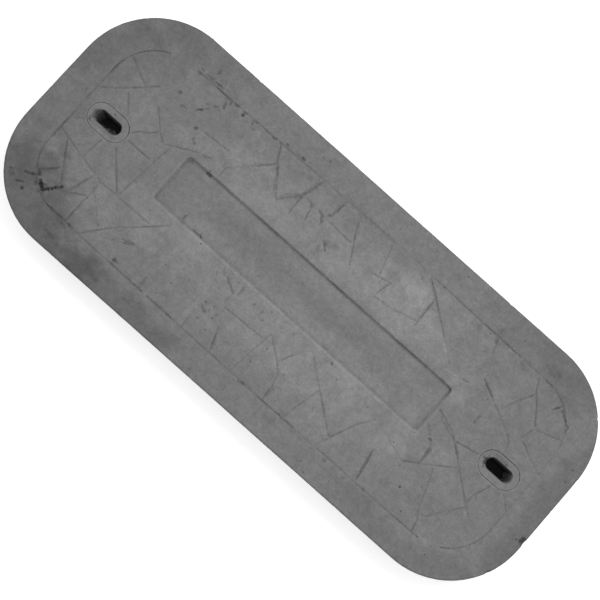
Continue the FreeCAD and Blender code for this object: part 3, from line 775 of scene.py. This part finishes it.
def edge_distance(tree, place, centre, half, corner):
    return use_group(tree, edge, {"Vector": place, "Centre": (centre[0], centre[1], 0.0),
                                  "Half Length": half[0], "Half Width": half[1],
                                  "Corner": corner})["Distance"]


# %% [markdown]
# ## Lighter along the gaps round the sockets
#
# The tone is lighter on both sides of the gap round each socket's rim. The group
# lightens a tone within a millimetre or so of the gap, and both materials use it.

# %% The gap dust group
GAP_LIGHTENS = 0.22
gap_lightening, given, result = new_group(
    "gap_lightening",
    [("Distance", "Float", 1.0), ("Tone", "Float", 1.0)],
    [("Tone", "Float")],
)
near = spread(gap_lightening, given["Distance"], 0.5 * MM, 1.6 * MM, 1.0 + GAP_LIGHTENS, 1.0)
gap_lightening.links.new(sum_of(gap_lightening, "MULTIPLY", given["Tone"], near), result["Tone"])
print("group:", gap_lightening.name)


def socket_gaps(tree, place):
    """How far each socket's gap is, on either side of it."""
    return [sum_of(tree, "ABSOLUTE", edge_distance(tree, place, centre, RIM_HALF, RIM_HALF[1]))
            for centre in SOCKET_CENTRES]


# %% [markdown]
# ## The concrete
#
# The material starts from one grey and multiplies it step by step: mottling at four distances,
# the marks, dirt where the mesh is hollow, a paler edge where it stands out, the dirt and painted shade
# that follow an edge, painted light on the panel's wall, a lighter tone along the socket gaps, specks of
# grit and the mouths of pin holes. The same grain and specks feed the bump, so that what looks dark is also
# rough. The surface is matt, with hardly any gloss, and its roughness varies with the dirt.

# %% Mix the concrete
CONCRETE_GREY = 0.178
FOOT_RISE = 0.7 * MM
DIRT_DARKENS = -0.42
SCOURING_LIGHTENS = 0.06
FOOT_DARKENS = -0.48
WALL_PAINTED_LIGHT = 0.13
SWEPT_CLEAN = 0.85
MOTTLES = [
    # Distance, share
    (110 * MM, 0.05),
    (26 * MM, 0.07),
    (6 * MM, 0.14),
    (2.2 * MM, 0.14),
]


def new_material(name):
    material = bpy.data.materials.new(name)
    material.use_nodes = True
    material.node_tree.nodes.clear()
    return material, material.node_tree


def finish_material(tree, tone, roughness, height, **constants):
    """Turns a grey tone, a roughness and a height in millimetres into the surface."""
    grey = put(tree, "CombineColor", {"Red": tone, "Green": tone, "Blue": tone})
    bump = put(tree, "Bump", {"Height": height, "Distance": MM, "Strength": 1.0})
    shader = put(tree, "BsdfPrincipled", {"Base Color": grey.outputs["Color"], "Roughness": roughness,
                                          "Normal": bump.outputs["Normal"]})
    for name, value in constants.items():
        shader.inputs[name.replace("_", " ")].default_value = value
    put(tree, "OutputMaterial", {"Surface": shader.outputs["BSDF"]})


def mixed_concrete():
    material, tree = new_material("weathered_concrete")
    place = put(tree, "TexCoord").outputs["Object"]
    tone = CONCRETE_GREY
    for distance, share in MOTTLES:
        cloud = use_group(tree, mottling, {"Vector": place, "Distance": distance, "Share": share})
        tone = sum_of(tree, "MULTIPLY", tone, cloud["Tone"])
    grain = cloud["Rise"]

    # The marks, each with a ragged edge, and the small ones on the face only
    noises = use_group(tree, raggedness, {"Vector": place})
    uneven = noises["Uneven"]
    ragged = pushed(tree, place, noises["Colour"], 3 * MM)
    drifting = put(tree, "TexNoise", {"Vector": place, "Scale": 1 / (30 * MM), "Detail": 4.0})
    drifting = spread(tree, drifting.outputs["Fac"], 0.3, 0.7, -0.7, 0.7)
    tone = marked(tree, place, drifting, tone, BROAD_MARKS)
    sides = put(tree, "SeparateXYZ", {"Vector": place}).outputs
    on_top = spread(tree, sides["Z"], top - 6 * MM, top - 4 * MM, 0.0, 1.0)
    stain_and_shade_change = sum_of(tree, "SUBTRACT", marked(tree, ragged, uneven, 1.0, STAINS_AND_CHIP_SHADE), 1.0)
    tone = changed(tree, tone, stain_and_shade_change, on_top)

    # Dirt in the hollows, thinner where the rain gets at it, and a scoured edge where it stands out
    patchy = put(tree, "TexNoise", {"Vector": place, "Scale": 1 / (26 * MM), "Detail": 3.0})
    patchy = spread(tree, patchy.outputs["Fac"], 0.36, 0.62, 0.45, 1.0)
    hollow = put(tree, "Attribute", attribute_name="hollow").outputs["Fac"]
    wide_hollow = put(tree, "Attribute", attribute_name="wide_hollow").outputs["Fac"]
    narrow_dirt = spread(tree, hollow, 0.03, 0.40, 0.0, 1.0, smooth=True)
    wide_dirt = spread(tree, wide_hollow, 0.30, 1.6, 0.0, 1.0, smooth=True)
    dirt = sum_of(tree, "MULTIPLY", sum_of(tree, "MAXIMUM", narrow_dirt, wide_dirt), patchy)
    for gap in socket_gaps(tree, place):
        dirt = sum_of(tree, "MULTIPLY", dirt, spread(tree, gap, 2.5 * MM, 4.0 * MM, 1.0 - SWEPT_CLEAN, 1.0))
        tone = use_group(tree, gap_lightening, {"Distance": gap, "Tone": tone})["Tone"]
    tone = changed(tree, tone, dirt, DIRT_DARKENS)
    scoured = spread(tree, hollow, -0.05, -0.35, 0.0, 1.0)
    tone = changed(tree, tone, scoured, SCOURING_LIGHTENS)

    # The dark arris, which is painted shade, and the line at the foot of the panel's wall, dirt with
    # painted shade
    rim = edge_distance(tree, place, (0.0, 0.0), slab_half, SLAB_CORNER)
    arris = sum_of(tree, "MULTIPLY", spread(tree, rim, -3.2 * MM, -1.0 * MM, 0.0, 1.0, smooth=True),
                   spread(tree, uneven, -0.6, 0.6, -0.06, -0.30))
    tone = changed(tree, tone, arris, on_top)
    foot = edge_distance(tree, pushed(tree, place, noises["Colour"], 1.5 * MM), PANEL_CENTRE,
                         PANEL_HALF, 3 * MM)
    # The panel's sloped wall is lightened: painted light that offsets the shade the wall gets
    wall = sum_of(tree, "MULTIPLY", spread(tree, foot, 1.4 * MM, 2.4 * MM, 0.0, 1.0),
                  spread(tree, foot, 3.4 * MM, 4.6 * MM, 1.0, 0.0))
    tone = changed(tree, tone, wall, WALL_PAINTED_LIGHT)
    foot = sum_of(tree, "ABSOLUTE", sum_of(tree, "SUBTRACT", foot, FOOT_RISE))
    foot = spread(tree, foot, 0.4 * MM, 1.4 * MM, 1.0, 0.0, smooth=True)
    # Stronger at the foot of the +Y wall, which faces away from the lamp: painted shade on top of the dirt
    foot = sum_of(tree, "MULTIPLY", foot, spread(tree, sides["Y"], 14 * MM, 28.5 * MM, 0.22, 1.15))
    foot = sum_of(tree, "MULTIPLY", foot, patchy)
    tone = changed(tree, tone, foot, FOOT_DARKENS)

    # Pin holes and grit
    pin_holes = use_group(tree, specks, {"Vector": place, "Spacing": 7 * MM, "Radius": 0.75 * MM,
                                         "Share": 0.16})["Mask"]
    dark_grit = use_group(tree, specks, {"Vector": place, "Spacing": 3.1 * MM, "Radius": 0.8 * MM,
                                         "Share": 0.18})["Mask"]
    pale_grit = use_group(tree, specks, {"Vector": ragged, "Spacing": 3.7 * MM, "Radius": 0.9 * MM,
                                         "Share": 0.2})["Mask"]
    for mask, change in ((pin_holes, -0.35), (dark_grit, -0.12), (pale_grit, 0.10)):
        tone = changed(tree, tone, mask, change)

    height = sum_of(tree, "MULTIPLY", grain, 0.22)
    height = sum_of(tree, "MULTIPLY_ADD", pin_holes, -0.35, height)
    height = sum_of(tree, "MULTIPLY_ADD", pale_grit, 0.06, height)
    roughness = sum_of(tree, "MULTIPLY_ADD", dirt, 0.06, 0.88)
    finish_material(tree, tone, roughness, height, Specular_IOR_Level=0.3)
    return material


concrete = mixed_concrete()
slab.data.materials.clear()
slab.data.materials.append(concrete)
print("concrete:", len(concrete.node_tree.nodes), "nodes")

# %% [markdown]
# ## The lifting sockets
#
# The sockets are grey plastic mouldings, flush with the concrete and as dusty as it is. From above
# only the rim and the slot show. The rim has taken the tone of the concrete, with grit trodden
# into it. The mouth is darker, the sleeve below it grows paler with depth, which is painted light on its
# deep walls, and its +Y side just below the mouth carries painted shade. Height alone tells the material
# how deep a point is, so no mask is drawn on the mesh.

# %% Mix the socket plastic
SOCKET_GREY = 0.174
SLEEVE_GREY = 0.175
DEEP_PAINTED_LIGHT_GREY = 0.42
MOUTH_DARKENS = 0.50
SHADE_DARKENS = 0.85
SOCKET_MARKS = [
    # X, Y, half length, half width, turn in degrees, change of tone
    (-265, 12, 1.5, 1.3, 0, -0.42),
    (267, 10, 1.5, 1.3, 0, -0.42),
    (244.3, 1.4, 1.4, 1.3, 0, -0.40),
    (-244.3, 3.6, 1.4, 1.3, 0, 0.22),
    (246, 3.6, 1.4, 1.2, 0, 0.22),
    (264, -7.5, 4.4, 0.9, 0, 0.18),
    (262, 10, 10.0, 3.6, 0, -0.20),
    (-281, -1, 7.0, 3.0, 85, -0.52),
    (-266, -8, 16.0, 2.2, 4, -0.22),
    (249.6, 0.5, 6.8, 3.0, 90, -0.80),
]


def mixed_moulding():
    material, tree = new_material("dusty_moulding")
    place = put(tree, "TexCoord").outputs["Object"]
    tone = SOCKET_GREY
    for distance, share in MOTTLES[1:]:
        cloud = use_group(tree, mottling, {"Vector": place, "Distance": distance, "Share": share})
        tone = sum_of(tree, "MULTIPLY", tone, cloud["Tone"])
    uneven = use_group(tree, raggedness, {"Vector": place})["Uneven"]
    tone = marked(tree, place, uneven, tone, SOCKET_MARKS)
    for gap in socket_gaps(tree, place):
        tone = use_group(tree, gap_lightening, {"Distance": gap, "Tone": tone})["Tone"]
    grit = use_group(tree, specks, {"Vector": place, "Spacing": 3 * MM, "Radius": 0.7 * MM,
                                    "Share": 0.2})["Mask"]
    tone = changed(tree, tone, grit, -0.14)

    # Darker on the mouth's bevel, paler with depth in the sleeve, which is painted light, and painted shade
    # on the +Y side just below the mouth
    sides = put(tree, "SeparateXYZ", {"Vector": place}).outputs
    mouth = spread(tree, sides["Z"], top - 0.1 * MM, top - 1.0 * MM, 0.0, MOUTH_DARKENS)
    tone = sum_of(tree, "MULTIPLY", tone, sum_of(tree, "SUBTRACT", 1.0, mouth))
    inside = spread(tree, sides["Z"], top - 1.1 * MM, top - 1.6 * MM, 0.0, 1.0)
    # The sleeve grows paler with depth: painted light on its deep walls
    depth = spread(tree, sides["Z"], top - 1.2 * MM, top - 40 * MM, 0.0, 1.0)
    depth = sum_of(tree, "MULTIPLY", depth, depth)
    sleeve = sum_of(tree, "MULTIPLY_ADD", depth, DEEP_PAINTED_LIGHT_GREY - SLEEVE_GREY, SLEEVE_GREY)
    sleeve = sum_of(tree, "MULTIPLY", sleeve, cloud["Tone"])
    tone = sum_of(tree, "ADD", sum_of(tree, "MULTIPLY", tone, sum_of(tree, "SUBTRACT", 1.0, inside)),
                  sum_of(tree, "MULTIPLY", sleeve, inside))
    # Painted shade on the +Y side of the slot, just below the mouth
    shaded = sum_of(tree, "MULTIPLY", spread(tree, sides["Y"], 5 * MM, 7 * MM, 0.0, SHADE_DARKENS),
                    spread(tree, sides["Z"], top - 0.1 * MM, top - 0.6 * MM, 0.0, 1.0))
    tone = sum_of(tree, "MULTIPLY", tone, sum_of(tree, "SUBTRACT", 1.0, shaded))
    roughness = sum_of(tree, "MULTIPLY_ADD", mouth, 0.2, 0.74)
    bumps = sum_of(tree, "MULTIPLY", cloud["Rise"], 0.16)
    finish_material(tree, tone, roughness, bumps, Specular_IOR_Level=0.3)
    return material


moulding = mixed_moulding()
for name in ("lifting_socket_left", "lifting_socket_right"):
    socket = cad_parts[name]
    socket.data.materials.clear()
    socket.data.materials.append(moulding)
print("moulding:", len(moulding.node_tree.nodes), "nodes")

# %% [markdown]
# ## The floor
#
# The cover lies on a plain pale floor. Its colour alone would render as a light grey, so the camera
# also sees a faint even glow from it, which carries the open floor to white and leaves the shadow.
# The glow is for the camera's rays only and adds no light to the cover. Under the slab the floor is
# dark earth, as under a real cover, because the slots look down on it; its darkness is also painted shade
# for the pit below, and a pale patch on it under the left slot is painted light.

# %% Lay the floor
FLOOR_SIZE = 12.0
FLOOR_GREY = 0.80
FLOOR_GLOW = 0.52
EARTH_AND_PIT_SHADE_GREY = 0.085
EARTH_PAINTED_LIGHT = [
    # X, Y, half length, half width, turn in degrees, change of tone: painted light under one slot
    (-267, -6, 13, 6.5, 0, 9.0),
]
EARTH_MARGIN = 30 * MM
GAP_BELOW = 0.1 * MM


def flat_plane(name, length, width, height):
    bpy.ops.mesh.primitive_plane_add(size=1.0, location=(0.0, 0.0, 0.0))
    plane = bpy.context.active_object
    plane.name = name
    for vertex in plane.data.vertices:
        vertex.co = (vertex.co.x * length, vertex.co.y * width, height)
    return plane


def clear_from_below(tree, surface):
    """Lets the floor vanish for anyone who looks up at the underside."""
    clear = put(tree, "BsdfTransparent")
    below = put(tree, "NewGeometry").outputs["Backfacing"]
    either = put(tree, "MixShader", {0: below, 1: surface, 2: clear.outputs[0]})
    put(tree, "OutputMaterial", {"Surface": either.outputs[0]})


def floor_material():
    material, tree = new_material("pale_floor")
    rays = put(tree, "LightPath").outputs
    seen = sum_of(tree, "MAXIMUM", rays["Is Camera Ray"], rays["Is Glossy Ray"])
    seen = sum_of(tree, "MAXIMUM", seen, rays["Is Transmission Ray"])
    matt = put(tree, "BsdfDiffuse", {"Color": (FLOOR_GREY, FLOOR_GREY, FLOOR_GREY, 1.0)})
    strength = sum_of(tree, "MULTIPLY", seen, FLOOR_GLOW)
    glow = put(tree, "Emission", {"Strength": strength})
    both = put(tree, "AddShader", {0: matt.outputs[0], 1: glow.outputs[0]})
    clear_from_below(tree, both.outputs[0])
    return material


def earth_and_pit_shade_material():
    material, tree = new_material("dark_earth_and_pit_shade")
    place = put(tree, "TexCoord").outputs["Object"]
    wander = put(tree, "TexNoise", {"Vector": place, "Scale": 1 / (6 * MM), "Detail": 3.0})
    uneven = spread(tree, wander.outputs["Fac"], 0.3, 0.7, -0.8, 0.8)
    tone = marked(tree, place, uneven, EARTH_AND_PIT_SHADE_GREY, EARTH_PAINTED_LIGHT)
    grey = put(tree, "CombineColor", {"Red": tone, "Green": tone, "Blue": tone})
    matt = put(tree, "BsdfDiffuse", {"Color": grey.outputs["Color"]})
    clear_from_below(tree, matt.outputs[0])
    return material


floor = flat_plane("floor", FLOOR_SIZE, FLOOR_SIZE, -2 * GAP_BELOW)
floor.data.materials.append(floor_material())
slab_size = slab_high - slab_low
earth = flat_plane("earth_and_pit_shade_under_slab", slab_size.x - 2 * EARTH_MARGIN, slab_size.y - 2 * EARTH_MARGIN,
                   -GAP_BELOW)
earth.data.materials.append(earth_and_pit_shade_material())
print("stage:", floor.name, earth.name)

# %% [markdown]
# ## Light
#
# The cover was seen under a bright, even sky, a little stronger from beyond its upper edge: the
# panel's upper wall is in shade and its lower bevel is light. The sky is the world's even grey, and
# one large soft lamp stands beyond the +Y side. Together they are set so that a white card on the
# cover would render just white, and so each colour renders about as it is written.

# %% Set the lights
SKY = 0.74
LAMP_SHARE = 0.28
LAMP_DISTANCE = 2.2
LAMP_SIZE = 1.1
LAMP_ELEVATION = math.radians(62)
LAMP_AZIMUTH = math.radians(12)

world = bpy.data.worlds.new("sky")
bpy.context.scene.world = world
world.use_nodes = True
world.node_tree.nodes.clear()
rays = put(world.node_tree, "LightPath").outputs
seen = sum_of(world.node_tree, "MAXIMUM", rays["Is Camera Ray"], rays["Is Glossy Ray"])
seen = sum_of(world.node_tree, "MAXIMUM", seen, rays["Is Transmission Ray"])
strength = spread(world.node_tree, seen, 0.0, 1.0, SKY, 1.0)
sky = put(world.node_tree, "Background", {"Color": (1.0, 1.0, 1.0, 1.0), "Strength": strength})
put(world.node_tree, "OutputWorld", {"Surface": sky.outputs["Background"]})

lamp_data = bpy.data.lights.new("soft_lamp", "AREA")
lamp_data.shape = "DISK"
lamp_data.size = LAMP_SIZE
lamp_data.energy = LAMP_SHARE * (math.pi * LAMP_DISTANCE) ** 2 / math.sin(LAMP_ELEVATION)
lamp = bpy.data.objects.new("soft_lamp", lamp_data)
bpy.context.scene.collection.objects.link(lamp)
towards_lamp = Vector((math.sin(LAMP_AZIMUTH) * math.cos(LAMP_ELEVATION),
                       math.cos(LAMP_AZIMUTH) * math.cos(LAMP_ELEVATION), math.sin(LAMP_ELEVATION)))
lamp.location = towards_lamp * LAMP_DISTANCE
lamp.rotation_euler = towards_lamp.to_track_quat("Z", "Y").to_euler()
print("lamp power:", round(lamp_data.energy, 1), "W")

# %% [markdown]
# ## Camera
#
# The cover is seen from straight above, turned by about 42 degrees in the picture. Its far side is
# a touch smaller than its near side, which tells that the camera leaned 4.7 degrees towards -Y, and
# the depth of slot wall that shows at each end tells its distance, 1.31 m.

# %% Place the camera
CAMERA_DISTANCE = 1.312
CAMERA_LEAN = math.radians(4.7)
CAMERA_ROLL = math.radians(41.684)
MM_PER_PIXEL = 1.0125
FRAME_PIXELS = 600
AIM = Vector((-0.25 * MM, -4.10 * MM, top))

camera_data = bpy.data.cameras.new("camera")
camera_data.sensor_width = 36.0
camera_data.lens = camera_data.sensor_width * CAMERA_DISTANCE / (MM_PER_PIXEL * MM * FRAME_PIXELS)
camera = bpy.data.objects.new("camera", camera_data)
bpy.context.scene.collection.objects.link(camera)
turn = Matrix.Rotation(CAMERA_LEAN, 4, "X") @ Matrix.Rotation(CAMERA_ROLL, 4, "Z")
camera.matrix_world = Matrix.Translation(AIM) @ turn @ Matrix.Translation((0, 0, CAMERA_DISTANCE))
bpy.context.scene.camera = camera
bpy.context.scene.view_settings.view_transform = "Standard"
print("lens:", round(camera_data.lens, 1), "mm")
